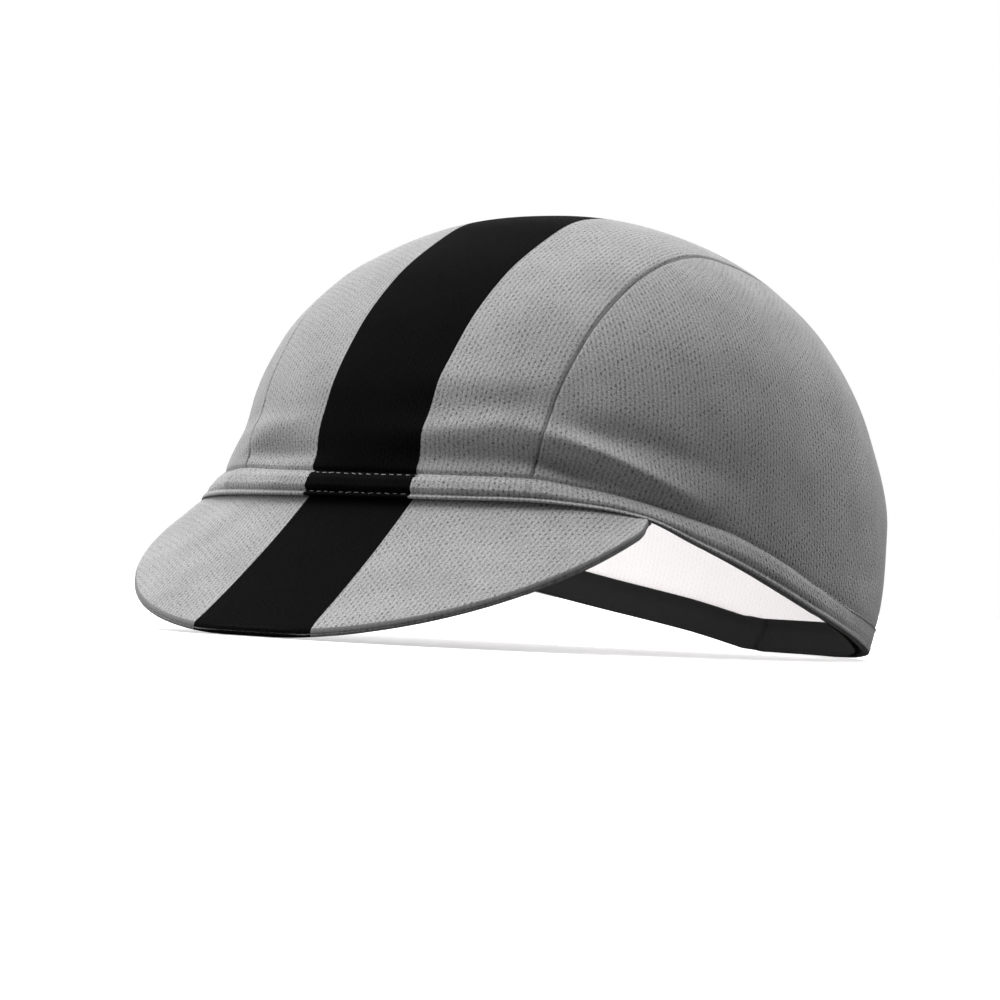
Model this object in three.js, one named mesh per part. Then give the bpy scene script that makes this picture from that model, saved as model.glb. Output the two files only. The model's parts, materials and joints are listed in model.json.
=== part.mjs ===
import * as THREE from "three";
import { mergeVertices } from "three/addons/utils/BufferGeometryUtils.js";

// A soft cycling cap. Lengths are in millimetres and angles in degrees. +Z is up, the peak points
// along -Y and the wearer's left is +X. "Round" is the angle round the opening from the middle of
// the front, positive on the wearer's left. "Level" is 0 at the crease above the hem and 90 at the
// top of the crown.

// Crown: its reach from the middle at the level of the crease, and its height above the ground.
const CROWN_FRONT = 92;
const CROWN_BACK = 110;
const CROWN_HALF_WIDTH = 82;
const CROWN_HEIGHT = 118.9;
const CLOTH = 1.2;

// Half widths of the middle panel at its two ends and over the top of the head.
const SEAM_FRONT = 45;
const SEAM_TOP = 49.5;
const SEAM_BACK = 44.4;

// Hem: the rolled edge round the opening. It lifts over the brow and ears and leans outwards, and the
// crown above it swells on the wearer's right of the brow.
const HEM_HEIGHT = 8;
const HEM_THICKNESS = 2.6;
const HEM_PUFF = 1.5;
const HEM_LIFT = 37;
const HEM_FLARE = 6.3;
const BROW_SWELL = 4;

// Elastic band inside the hem.
const ELASTIC_HEIGHT = 10;
const ELASTIC_THICKNESS = 1.4;
const ELASTIC_RISE = 1.6;

// Peak: two covers, one over the other, tucked under the front of the hem.
const PEAK_CORNER = 51.4;
const PEAK_LENGTH = 40.2;
const PEAK_SIDE = 3.5;
const PEAK_SET = 1.8;
const PEAK_DIP = 0.5;
const PEAK_SAG = 1.3;
const PEAK_CLOTH = 1;
const PEAK_TUCK = 1.6;
const PEAK_PRESS = 0.6;
const PEAK_TURN = 0.93;

const FOLD_DEPTH = 2.2;
const CLEARANCE = 0.3;

// How squarely the outline of the head and of the peak run: 2 is an ellipse.
const FRONT_SQUARE = { crease: 2.2, above: 2.3 };
const BACK_SQUARE = { crease: 2, above: 2.08 };
const PEAK_SQUARE = 2.11;

// Crown profiles: level, then the reach as a share of CROWN_FRONT, CROWN_BACK and CROWN_HALF_WIDTH.
const PROFILE = [
  // level, front, back, side
  [0, 1, 1, 1],
  [15, 0.939, 1.063, 0.988],
  [30, 0.813, 0.942, 0.933],
  [45, 0.641, 0.773, 0.81],
  [60, 0.44, 0.516, 0.61],
  [75, 0.262, 0.259, 0.325],
  [90, 0, 0, 0],
];

// The hem round each half of the opening, from the front to the back: height of its lower edge as a
// share of HEM_LIFT, its own height of HEM_HEIGHT, its lean of HEM_FLARE, its roll of HEM_PUFF and the
// swell of BROW_SWELL. The soft cap lies with its right half a little higher than its left.
const LEFT_HEM = [
  // round, edge, height, lean, puff, swell
  [0, 0.984, 0.82, 0.48, 1, 0],
  [20, 0.992, 0.8, 0.6, 1, 0],
  [32, 1, 0.76, 0.72, 1, 0],
  [42, 0.98, 0.62, 0.9, 0.9, 0],
  [50, 0.93, 0.58, 1, 0.85, 0],
  [60, 0.77, 0.86, 0.8, 0.8, 0],
  [70, 0.62, 1.06, 0.52, 0.8, 0],
  [80, 0.472, 1.1, 0.4, 0.8, 0],
  [90, 0.346, 1, 0.3, 0.7, 0],
  [105, 0.19, 0.87, 0.04, 0.3, 0],
  [120, 0.09, 0.86, -0.2, 0.15, 0],
  [135, 0.03, 0.88, -0.25, 0.15, 0],
  [150, 0, 0.9, -0.2, 0.25, 0],
  [175, 0, 0.9, -0.11, 0.39, 0],
  [180, 0.016, 0.9, -0.1, 0.4, 0],
];
const RIGHT_HEM = [
  // round, edge, height, lean, puff, swell
  [0, 0.984, 0.82, 0.48, 1, 0],
  [20, 0.982, 0.86, 0.62, 1, 0.3],
  [32, 0.978, 0.92, 0.75, 0.8, 0.65],
  [42, 0.962, 0.88, 0.88, 0.5, 0.95],
  [52, 0.935, 0.84, 0.95, 0.35, 1],
  [65, 0.88, 0.9, 0.7, 0.6, 0.75],
  [80, 0.8, 0.98, 0.4, 0.8, 0.35],
  [100, 0.67, 0.98, 0.2, 0.6, 0],
  [120, 0.51, 0.96, 0.05, 0.45, 0],
  [135, 0.385, 0.94, 0, 0.35, 0],
  [150, 0.255, 0.9, 0, 0.3, 0],
  [160, 0.178, 0.9, -0.05, 0.3, 0],
  [166, 0.132, 0.9, -0.08, 0.33, 0],
  [172, 0.08, 0.9, -0.1, 0.36, 0],
  [176, 0.044, 0.9, -0.1, 0.38, 0],
  [180, 0.016, 0.9, -0.1, 0.4, 0],
];

// Outside of the rolled hem: down as a share of its height, out as a share of HEM_PUFF.
const HEM_ROLL = [
  // down, out
  [0, 0],
  [0.1, 0.55],
  [0.28, 1],
  [0.52, 1],
  [0.72, 0.6],
  [0.81, 0.2],
  [0.9, 0.62],
  [1, 0.3],
];

// Soft folds of the crown just above the hem. Slope is the change of level along the fold, and
// depth a share of FOLD_DEPTH, positive outwards.
const FOLDS = [
  // round, level, half length, half height, slope, depth
  [44, 6.4, 17, 2.6, -0.18, 0.55],
  [40, 2.7, 12, 2.1, -0.05, -0.8],
  [60, 6, 9, 4, -0.1, 0.35],
  [15, 8.3, 14, 2.8, 0, 0.45],
  [20, 3.3, 12, 2.2, 0, -0.65],
  [40, 19, 7, 4, 0.1, -0.25],
  [-30, 7.5, 14, 2.8, 0.1, 0.35],
  [-24, 3.2, 12, 2.2, 0, -0.5],
  [150, 9, 18, 4, -0.1, -0.3],
];

// Smooth curve through the rows of a table: column 0 is where, the chosen column is the value.
function through(table, column, level = false) {
  const x = table.map((row) => row[0]);
  const y = table.map((row) => row[column]);
  const last = x.length - 1;
  const step = x.slice(1).map((v, i) => v - x[i]);
  const rise = step.map((v, i) => (y[i + 1] - y[i]) / v);
  const end = (h0, h1, d0, d1) => ((2 * h0 + h1) * d0 - h0 * d1) / (h0 + h1);
  const slope = x.map((_, i) => {
    if (i === 0) return level ? 0 : end(step[0], step[1], rise[0], rise[1]);
    if (i === last) return level ? 0 : end(step[i - 1], step[i - 2], rise[i - 1], rise[i - 2]);
    if (rise[i - 1] * rise[i] <= 0) return 0;
    const w0 = 2 * step[i] + step[i - 1];
    const w1 = step[i] + 2 * step[i - 1];
    return (w0 + w1) / (w0 / rise[i - 1] + w1 / rise[i]);
  });
  return (at) => {
    let i = 0;
    while (i < last - 1 && at > x[i + 1]) i += 1;
    const t = (at - x[i]) / step[i];
    const h = step[i];
    const a = (1 + 2 * t) * (1 - t) ** 2;
    const b = t * (1 - t) ** 2;
    const c = t * t * (3 - 2 * t);
    const d = t * t * (t - 1);
    return a * y[i] + b * h * slope[i] + c * y[i + 1] + d * h * slope[i + 1];
  };
}

const frontShare = through(PROFILE, 1);
const backShare = through(PROFILE, 2);
const sideShare = through(PROFILE, 3);
const COLUMNS = { edge: 1, height: 2, lean: 3, puff: 4, swell: 5 };
const halfHem = (table) =>
  Object.fromEntries(Object.entries(COLUMNS).map(([name, i]) => [name, through(table, i, true)]));
const leftHem = halfHem(LEFT_HEM);
const rightHem = halfHem(RIGHT_HEM);
const hemShare = (name, round) => (round < 0 ? rightHem : leftHem)[name](Math.abs(round));

const toRadians = THREE.MathUtils.degToRad;
const toDegrees = THREE.MathUtils.radToDeg;
const mix = THREE.MathUtils.lerp;

// Height of the opening's lower edge. Nothing reaches below the ground that the cap lies on.
function edgeHeight(round) {
  return Math.max(0, HEM_LIFT * hemShare("edge", round));
}

// Radius factor of a rounded square outline.
function squareness(round, power) {
  const s = Math.abs(Math.sin(toRadians(round)));
  const c = Math.abs(Math.cos(toRadians(round)));
  return (s ** power + c ** power) ** (-1 / power);
}

// Point of the smooth crown, without its folds.
function crown(round, level) {
  const up = Math.sin(toRadians(level));
  const c = Math.cos(toRadians(round));
  const power = c > 0 ? FRONT_SQUARE : BACK_SQUARE;
  const k = squareness(round, mix(power.crease, power.above, Math.min(1, Math.max(0, up * 2))));
  const reach = c > 0 ? CROWN_FRONT * frontShare(level) : CROWN_BACK * backShare(level);
  const crease = edgeHeight(round) + HEM_HEIGHT * hemShare("height", round);
  const swell = BROW_SWELL * hemShare("swell", round) * Math.exp(-((level / 6.5) ** 2));
  return new THREE.Vector3(
    (CROWN_HALF_WIDTH * sideShare(level) * k + swell) * Math.sin(toRadians(round)),
    -(reach * k + swell) * c,
    crease + (CROWN_HEIGHT - crease) * up,
  );
}

function foldHeight(round, level) {
  let sum = 0;
  for (const [atRound, atLevel, halfLength, halfHeight, slope, depth] of FOLDS) {
    const along = (round - atRound) / halfLength;
    const across = (level - atLevel - slope * (round - atRound)) / halfHeight;
    sum += depth * Math.exp(-along * along - across * across);
  }
  return FOLD_DEPTH * sum;
}

// The crown is laid out on a disc: a to the wearer's left, b to the back, 1 at the crease.
function onDisc(a, b) {
  const round = toDegrees(Math.atan2(a, -b));
  return { round, level: 90 * (1 - Math.hypot(a, b)) };
}

function bare(a, b) {
  const { round, level } = onDisc(a, b);
  return crown(round, level);
}

// Point of the crown's cloth, at a depth below its outside. Its lower edge is cut square.
function cloth(a, b, depth) {
  const { round, level } = onDisc(a, b);
  const e = 0.002;
  const across = bare(a + e, b).sub(bare(a - e, b));
  const along = bare(a, b + e).sub(bare(a, b - e));
  const normal = across.cross(along).normalize();
  normal.z *= Math.min(1, Math.max(0, level / 2));
  normal.normalize();
  return crown(round, level).addScaledVector(normal, foldHeight(round, level) - depth);
}

// Disc position of a seam, stood off by a half width, at a station from -1 in front to 1 behind.
function seamAt(station, offset) {
  const ends = station < 0 ? SEAM_FRONT : SEAM_BACK;
  const half = SEAM_TOP + (ends - SEAM_TOP) * station * station + offset;
  let low = 0;
  let high = 0.98;
  for (let i = 0; i < 40; i += 1) {
    const a = (low + high) / 2;
    if (bare(a, station * Math.sqrt(1 - a * a)).x < half) low = a;
    else high = a;
  }
  return (low + high) / 2;
}

// Stations along the seams, closer together near the folds in front.
const STATIONS = 42;
const stations = Array.from({ length: STATIONS + 1 }, (_, i) => 2 * (i / STATIONS) ** 1.35 - 1);

// Closed solid from points and triangles, with its faces pointing out.
function closed(points, faces) {
  const geometry = new THREE.BufferGeometry().setFromPoints(points);
  geometry.setIndex(faces);
  const merged = mergeVertices(geometry, 1e-3);
  const index = [...merged.index.array];
  const kept = [];
  for (let i = 0; i < index.length; i += 3) {
    const [a, b, c] = index.slice(i, i + 3);
    if (a !== b && b !== c && c !== a) kept.push([a, b, c]);
  }
  const at = (i) => new THREE.Vector3().fromBufferAttribute(merged.attributes.position, i);
  const volume = kept.reduce((sum, [a, b, c]) => sum + at(a).dot(at(b).cross(at(c))), 0);
  merged.setIndex(kept.flatMap(([a, b, c]) => (volume > 0 ? [a, b, c] : [a, c, b])));
  merged.computeVertexNormals();
  return merged;
}

// Solid between two sheets of points, each a list of rows of the same length.
function slab(outside, inside) {
  const rows = outside.length;
  const columns = outside[0].length;
  const at = (sheet, i, j) => (sheet * rows + i) * columns + j;
  const faces = [];
  const quad = (a, b, c, d) => faces.push(a, b, c, a, c, d);
  for (let i = 0; i < rows - 1; i += 1) {
    for (let j = 0; j < columns - 1; j += 1) {
      quad(at(0, i, j), at(0, i + 1, j), at(0, i + 1, j + 1), at(0, i, j + 1));
      quad(at(1, i, j), at(1, i, j + 1), at(1, i + 1, j + 1), at(1, i + 1, j));
    }
  }
  for (let i = 0; i < rows - 1; i += 1) {
    const j = columns - 1;
    quad(at(0, i, 0), at(1, i, 0), at(1, i + 1, 0), at(0, i + 1, 0));
    quad(at(0, i, j), at(0, i + 1, j), at(1, i + 1, j), at(1, i, j));
  }
  for (let j = 0; j < columns - 1; j += 1) {
    const i = rows - 1;
    quad(at(0, 0, j), at(0, 0, j + 1), at(1, 0, j + 1), at(1, 0, j));
    quad(at(0, i, j), at(1, i, j), at(1, i, j + 1), at(0, i, j + 1));
  }
  return closed([...outside.flat(), ...inside.flat()], faces);
}

// Solid swept along a list of closed sections; a ring joins its last section to its first.
function sweep(sections, ring = false) {
  const n = sections[0].length;
  const count = sections.length;
  const faces = [];
  for (let i = 0; i < (ring ? count : count - 1); i += 1) {
    const next = (i + 1) % count;
    for (let j = 0; j < n; j += 1) {
      const k = (j + 1) % n;
      faces.push(i * n + j, next * n + j, next * n + k, i * n + j, next * n + k, i * n + k);
    }
  }
  if (!ring) {
    const flat = (section) => section.map((p) => new THREE.Vector2(Math.hypot(p.x, p.y), p.z));
    for (const [a, b, c] of THREE.ShapeUtils.triangulateShape(flat(sections[0]), [])) {
      faces.push(a, c, b);
    }
    const start = (count - 1) * n;
    for (const [a, b, c] of THREE.ShapeUtils.triangulateShape(flat(sections[count - 1]), [])) {
      faces.push(start + a, start + b, start + c);
    }
  }
  return closed(sections.flat(), faces);
}

// Middle panel: columns across it, rows from the front crease over the top to the back crease.
function middlePanel(depth) {
  const columns = 10;
  return stations.map((s) => {
    const edge = seamAt(s, -CLEARANCE / 2);
    return Array.from({ length: columns + 1 }, (_, j) => {
      const a = edge * (2 * j / columns - 1);
      return cloth(a, s * Math.sqrt(1 - a * a), depth);
    });
  });
}

// Angle round the opening at which a seam, stood off by a half width, meets the crease.
function seamFoot(station, offset) {
  const a = seamAt(station, offset);
  return toDegrees(Math.atan2(a, -station * Math.sqrt(1 - a * a)));
}

// Angles round the opening along one side panel.
function sideRounds() {
  const from = seamFoot(-1, CLEARANCE / 2);
  const to = seamFoot(1, CLEARANCE / 2);
  return stations.map((_, i) => mix(from, to, i / STATIONS));
}

// Side panel: rows from the seam down to the crease, closer together near the crease.
function sidePanel(side, depth) {
  const rows = 11;
  const rounds = sideRounds();
  return stations.map((s, i) => {
    const a = seamAt(s, CLEARANCE / 2);
    const b = s * Math.sqrt(1 - a * a);
    const foot = toRadians(rounds[i]);
    return Array.from({ length: rows + 1 }, (_, j) => {
      const down = 1 - (1 - j / rows) ** 1.6;
      const x = mix(a, Math.sin(foot), down);
      const y = mix(b, -Math.cos(foot), down);
      return cloth(side * x, y, depth);
    });
  });
}

// Level direction that points out of the opening's edge.
function outwards(round) {
  const along = crown(round + 0.2, 0).sub(crown(round - 0.2, 0));
  return new THREE.Vector3(-along.y, along.x, 0).normalize().negate();
}

// Point on the slant of the hem: down from the crease at 0 to the edge at 1, and out from it.
// Above the crease it follows the crown inwards.
function onHem(round, down, out) {
  const height = HEM_HEIGHT * hemShare("height", round);
  const crease = crown(round, 0);
  const radial = new THREE.Vector3(crease.x, crease.y, 0).normalize();
  const lean = down > 0 ? HEM_FLARE * hemShare("lean", round) * down : 0.55 * height * down;
  const point = crease.addScaledVector(radial, lean);
  point.z -= height * down;
  return point.addScaledVector(outwards(round), out);
}

function hemSection(round) {
  const puff = HEM_PUFF * hemShare("puff", round);
  const top = CLEARANCE / HEM_HEIGHT;
  const outside = HEM_ROLL.map(([down, out]) => onHem(round, Math.max(top, down), out * puff));
  const inside = [1, 0.5, top].map((down) => onHem(round, down, -HEM_THICKNESS));
  return [...outside, ...inside];
}

// The band rides up a little on the wearer's left.
function elasticSection(round) {
  const out = HEM_THICKNESS + CLEARANCE;
  const height = HEM_HEIGHT * hemShare("height", round);
  const rise = round > 0 && round < 120 ? ELASTIC_RISE * Math.sin(toRadians(1.5 * round)) : 0;
  const low = 1 - rise / height;
  const top = low - ELASTIC_HEIGHT / height;
  return [
    onHem(round, low, -out),
    onHem(round, 0, -out),
    onHem(round, top, -out),
    onHem(round, top, -out - ELASTIC_THICKNESS),
    onHem(round, 0, -out - ELASTIC_THICKNESS),
    onHem(round, low, -out - ELASTIC_THICKNESS),
  ];
}

const range = (from, to, count) => Array.from({ length: count + 1 }, (_, i) => mix(from, to, i / count));

// Peak: t runs across it from corner to corner, v from its root under the hem to its free edge.
const corner = onHem(PEAK_CORNER, 1, 0);
const brow = onHem(0, 1, 0);
const PEAK_STACK = 2 * PEAK_CLOTH + CLEARANCE;

function peakRoot(t) {
  const point = onHem(PEAK_CORNER * t, 1, -PEAK_TUCK);
  point.z -= 1.5 * CLEARANCE + PEAK_STACK / 2;
  return point;
}

function peakEdge(t) {
  const round = 90 * t;
  const k = squareness(round, PEAK_SQUARE);
  const forward = Math.cos(toRadians(round)) * k;
  const widest = corner.y - PEAK_SET;
  const top = corner.z - PEAK_STACK / 2;
  const edge = new THREE.Vector3(
    (corner.x + PEAK_SIDE) * Math.sin(toRadians(round)) * k,
    widest + (brow.y - PEAK_LENGTH - widest) * forward,
    PEAK_STACK / 2 - PEAK_PRESS + top - (top + PEAK_DIP) * forward + PEAK_DIP * forward * forward,
  );
  // At its corners the edge turns in under the hem.
  const turn = Math.max(0, Math.abs(t) - PEAK_TURN) / (1 - PEAK_TURN);
  return edge.lerp(peakRoot(t), 0.9 * turn * turn);
}

function peakMiddle(t, v) {
  const point = peakRoot(t).lerp(peakEdge(t), v);
  point.z -= PEAK_SAG * 4 * v * (1 - v) * (1 - t * t);
  return point;
}

// Point of the peak, at a height above its middle. Its edge is cut upright and its tip pressed flat.
function onPeak(t, v, height) {
  const e = 0.002;
  const across = peakMiddle(t + e, v).sub(peakMiddle(t - e, v));
  const along = peakMiddle(t, v + e).sub(peakMiddle(t, v - e));
  const normal = across.cross(along).normalize();
  if (normal.z < 0) normal.negate();
  normal.lerp(new THREE.Vector3(0, 0, 1), v ** 3).normalize();
  const point = peakMiddle(t, v).addScaledVector(normal, height);
  point.z = Math.max(point.z, height + PEAK_STACK / 2);
  return point;
}

function peakCover(height) {
  const across = range(-90, 90, 28).map((angle) => Math.sin(toRadians(angle)));
  const along = range(0, 1, 6);
  return across.map((t) => along.map((v) => onPeak(t, v, height)));
}

// Pieces
const cap = new THREE.Group();

function add(name, geometry, color, roughness) {
  const material = new THREE.MeshStandardMaterial({ color, roughness, metalness: 0 });
  const mesh = new THREE.Mesh(geometry, material);
  mesh.name = name;
  cap.add(mesh);
}

const GREY = 0xa8a8a8;
const BLACK = 0x1c1c1c;

add("centre_panel", slab(middlePanel(0), middlePanel(CLOTH)), GREY, 0.85);
add("side_panel_left", slab(sidePanel(1, 0), sidePanel(1, CLOTH)), GREY, 0.85);
add("side_panel_right", slab(sidePanel(-1, 0), sidePanel(-1, CLOTH)), GREY, 0.85);

const frontFoot = seamFoot(-1, -CLEARANCE / 2);
const backFoot = seamFoot(1, -CLEARANCE / 2);
add("hem_front", sweep(range(-frontFoot, frontFoot, 18).map(hemSection)), GREY, 0.85);
add("hem_left", sweep(sideRounds().map(hemSection)), GREY, 0.85);
add("hem_right", sweep(sideRounds().map((round) => hemSection(-round))), GREY, 0.85);
const backRounds = range(backFoot, 360 - backFoot, 18).map((round) => (round > 180 ? round - 360 : round));
add("hem_back", sweep(backRounds.map(hemSection)), GREY, 0.85);

add("elastic_band", sweep(range(-180, 180, 96).slice(1).map(elasticSection), true), BLACK, 0.9);

const upper = CLEARANCE / 2;
add("peak_top", slab(peakCover(upper + PEAK_CLOTH), peakCover(upper)), GREY, 0.85);
add("peak_underside", slab(peakCover(-upper), peakCover(-upper - PEAK_CLOTH)), GREY, 0.85);

// The origin is under the middle of the whole cap, on the ground.
const box = new THREE.Box3().setFromObject(cap);
cap.position.set(-(box.min.x + box.max.x) / 2, -(box.min.y + box.max.y) / 2, -box.min.z);

export default cap;
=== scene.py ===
# %% [markdown]
# # A soft cycling cap
#
# A cycling cap is sewn from a thin polyester mesh knit: one long panel over the middle of the head, a
# panel on each side, a turned-up hem with an elastic band inside it, and a short peak. The CAD model
# gives the cap's true shape with plain faces. Here each cloth piece is made again on the same surface
# with many more faces, so that the seams, puckers and stitches can be real geometry, and the knit, the
# printed stripe and the elastic get their finishes.

# %% Load the frame
import json
import math

import bmesh
import bpy
import numpy as np
from mathutils import Matrix, Vector

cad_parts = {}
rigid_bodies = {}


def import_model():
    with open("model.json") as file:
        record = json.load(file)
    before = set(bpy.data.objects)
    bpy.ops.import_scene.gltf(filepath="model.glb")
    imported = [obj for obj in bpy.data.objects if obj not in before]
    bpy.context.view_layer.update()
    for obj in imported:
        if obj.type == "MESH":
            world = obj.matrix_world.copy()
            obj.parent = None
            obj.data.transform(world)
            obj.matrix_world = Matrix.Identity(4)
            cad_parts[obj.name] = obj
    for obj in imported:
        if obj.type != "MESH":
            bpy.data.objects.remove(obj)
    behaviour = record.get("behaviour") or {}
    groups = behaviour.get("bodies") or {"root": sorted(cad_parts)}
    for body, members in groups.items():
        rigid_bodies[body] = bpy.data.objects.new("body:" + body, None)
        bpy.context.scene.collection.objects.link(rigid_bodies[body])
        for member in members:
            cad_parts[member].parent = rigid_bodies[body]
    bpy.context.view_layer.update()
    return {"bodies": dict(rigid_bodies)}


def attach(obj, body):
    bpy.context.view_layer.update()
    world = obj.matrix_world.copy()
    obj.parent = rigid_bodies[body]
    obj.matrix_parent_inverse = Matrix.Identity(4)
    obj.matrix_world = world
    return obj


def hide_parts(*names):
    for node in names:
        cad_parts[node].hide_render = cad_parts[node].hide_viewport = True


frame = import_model()
BODY = next(iter(frame["bodies"]))
print("The whole cap is one body:", BODY)

# %% [markdown]
# ## Sizes
#
# All lengths are millimetres and all angles degrees, as a cap maker would write them, and they become
# metres only when a mesh is made. "Around" is the angle round the opening from the middle of the
# front, positive on the wearer's left. "Level" is 0 at the crease above the hem and 90 at the top.
# SHIFT moves every point, so that the middle of the cap's box stands over the origin.

# %% Sizes of the crown, hem, band and peak
MILLIMETRE = 0.001
SHIFT = np.array([0.520, 9.274, 0.0])

CROWN_FRONT, CROWN_BACK, CROWN_HALF_WIDTH, CROWN_HEIGHT = 92, 110, 82, 118.9
CLOTH, CLEARANCE = 1.2, 0.3
SEAM_FRONT, SEAM_TOP, SEAM_BACK = 45, 49.5, 44.4
HEM_HEIGHT, HEM_THICKNESS, HEM_PUFF, HEM_LIFT, HEM_FLARE = 8, 2.6, 1.5, 37, 6.3
BROW_SWELL = 4
ELASTIC_HEIGHT, ELASTIC_THICKNESS, ELASTIC_RISE = 10, 1.4, 1.6
PEAK_CORNER, PEAK_LENGTH, PEAK_SIDE, PEAK_SET = 51.4, 40.2, 3.5, 1.8
PEAK_DIP, PEAK_SAG, PEAK_CLOTH, PEAK_TUCK, PEAK_PRESS, PEAK_TURN = 0.5, 1.3, 1, 1.6, 0.6, 0.93
FOLD_DEPTH = 2.2
STRIPE_CREASE, STRIPE_TOP, STRIPE_PEAK, STRIPE_DRIFT = 16.5, 17.9, 18.5, 1.2
print("Crown at its crease:", CROWN_FRONT + CROWN_BACK, "mm long and", 2 * CROWN_HALF_WIDTH, "mm wide")

# %% Profiles of the crown: level, then the reach in front, behind and to the side
PROFILE = [
    (0, 1, 1, 1),
    (15, 0.939, 1.063, 0.988),
    (30, 0.813, 0.942, 0.933),
    (45, 0.641, 0.773, 0.81),
    (60, 0.44, 0.516, 0.61),
    (75, 0.262, 0.259, 0.325),
    (90, 0, 0, 0),
]
print("The crown's profiles have", len(PROFILE), "rows")

# %% Hem round each half: around, edge, height, lean, puff, swell
LEFT_HEM = [
    (0, 0.984, 0.82, 0.48, 1, 0),
    (20, 0.992, 0.8, 0.6, 1, 0),
    (32, 1, 0.76, 0.72, 1, 0),
    (42, 0.98, 0.62, 0.9, 0.9, 0),
    (50, 0.93, 0.58, 1, 0.85, 0),
    (60, 0.77, 0.86, 0.8, 0.8, 0),
    (70, 0.62, 1.06, 0.52, 0.8, 0),
    (80, 0.472, 1.1, 0.4, 0.8, 0),
    (90, 0.346, 1, 0.3, 0.7, 0),
    (105, 0.19, 0.87, 0.04, 0.3, 0),
    (120, 0.09, 0.86, -0.2, 0.15, 0),
    (135, 0.03, 0.88, -0.25, 0.15, 0),
    (150, 0, 0.9, -0.2, 0.25, 0),
    (175, 0, 0.9, -0.11, 0.39, 0),
    (180, 0.016, 0.9, -0.1, 0.4, 0),
]
RIGHT_HEM = [
    (0, 0.984, 0.82, 0.48, 1, 0),
    (20, 0.982, 0.86, 0.62, 1, 0.3),
    (32, 0.978, 0.92, 0.75, 0.8, 0.65),
    (42, 0.962, 0.88, 0.88, 0.5, 0.95),
    (52, 0.935, 0.84, 0.95, 0.35, 1),
    (65, 0.88, 0.9, 0.7, 0.6, 0.75),
    (80, 0.8, 0.98, 0.4, 0.8, 0.35),
    (100, 0.67, 0.98, 0.2, 0.6, 0),
    (120, 0.51, 0.96, 0.05, 0.45, 0),
    (135, 0.385, 0.94, 0, 0.35, 0),
    (150, 0.255, 0.9, 0, 0.3, 0),
    (160, 0.178, 0.9, -0.05, 0.3, 0),
    (166, 0.132, 0.9, -0.08, 0.33, 0),
    (172, 0.08, 0.9, -0.1, 0.36, 0),
    (176, 0.044, 0.9, -0.1, 0.38, 0),
    (180, 0.016, 0.9, -0.1, 0.4, 0),
]
HEM_ROLL = [(0, 0), (0.1, 0.55), (0.28, 1), (0.52, 1), (0.72, 0.6), (0.81, 0.2), (0.9, 0.62), (1, 0.3)]
print("The hem's tables have", len(LEFT_HEM), "rows for the left half and", len(RIGHT_HEM), "for the right")

# %% Soft folds: around, level, half length, half height, slope, depth
FOLDS = [
    (44, 6.4, 17, 2.6, -0.18, 0.55),
    (40, 2.7, 12, 2.1, -0.05, -0.8),
    (60, 6, 9, 4, -0.1, 0.35),
    (15, 8.3, 14, 2.8, 0, 0.45),
    (20, 3.3, 12, 2.2, 0, -0.65),
    (40, 19, 7, 4, 0.1, -0.25),
    (-30, 7.5, 14, 2.8, 0.1, 0.35),
    (-24, 3.2, 12, 2.2, 0, -0.5),
    (150, 9, 18, 4, -0.1, -0.3),
]
CREASES = [
    (41, 7, 9, 1.7, -0.2, 0.3),
    (38, 3.6, 7, 1.5, -0.12, -0.4),
    (50, 4.6, 8, 1.6, -0.14, 0.3),
    (42, 6.9, 9, 1.6, -0.22, 0.5),
    (37, 3.5, 6, 1.7, -0.1, -0.5),
    (44, 10.2, 7, 1.5, -0.2, -0.2),
    (54, 3.2, 7, 2.2, -0.1, 0.6),
    (50, 11, 10, 2.4, -0.12, -0.35),
    (54, 10, 10, 2.2, -0.08, -0.25),
    (22, 9.4, 10, 2, 0.12, 0.25),
    (20, 19, 14, 3.4, 0, 0.35),
    (24, 14.5, 9, 2.4, 0.1, -0.22),
    (-32, 4.8, 5, 1.6, 0.3, 0.3),
    (-22, 4.6, 12, 2.6, 0, -0.28),
    (-20, 3.4, 8, 1.7, 0, -0.35),
    (-26, 9, 9, 2, 0.1, 0.2),
    (112, 6, 9, 2, 0.12, -0.16),
    (-70, 6, 10, 2.2, 0.1, 0.2),
    (-98, 5, 10, 2, -0.1, -0.2),
    (-140, 8, 12, 3, 0.1, 0.2),
]
print("Folds:", len(FOLDS), "broad ones from the CAD model and", len(CREASES), "finer ones on them")

# %% [markdown]
# ## From tables to smooth curves
#
# The tables give a few stations. Straight lines between them would leave kinks that soft cloth doesn't
# have, and a plain spline would overshoot. A monotone cubic curve passes through each row and never
# swings past it, so that is what the CAD source and this script both use.

# %% A monotone cubic curve through one column of a table
def through(table, column, level=False):
    x = np.array([row[0] for row in table], float)
    y = np.array([row[column] for row in table], float)
    step = np.diff(x)
    rise = np.diff(y) / step
    slope = np.zeros_like(x)
    for i in range(1, len(x) - 1):
        if rise[i - 1] * rise[i] > 0:
            w0, w1 = 2 * step[i] + step[i - 1], step[i] + 2 * step[i - 1]
            slope[i] = (w0 + w1) / (w0 / rise[i - 1] + w1 / rise[i])
    if not level:
        slope[0] = ((2 * step[0] + step[1]) * rise[0] - step[0] * rise[1]) / (step[0] + step[1])
        slope[-1] = ((2 * step[-1] + step[-2]) * rise[-1] - step[-1] * rise[-2]) / (step[-1] + step[-2])

    def curve(at):
        at = np.asarray(at, float)
        i = np.clip(np.searchsorted(x, at) - 1, 0, len(x) - 2)
        t = (at - x[i]) / step[i]
        ends = (1 + 2 * t) * (1 - t) ** 2 * y[i] + t * t * (3 - 2 * t) * y[i + 1]
        return ends + step[i] * t * (1 - t) * ((1 - t) * slope[i] - t * slope[i + 1])

    return curve


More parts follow.
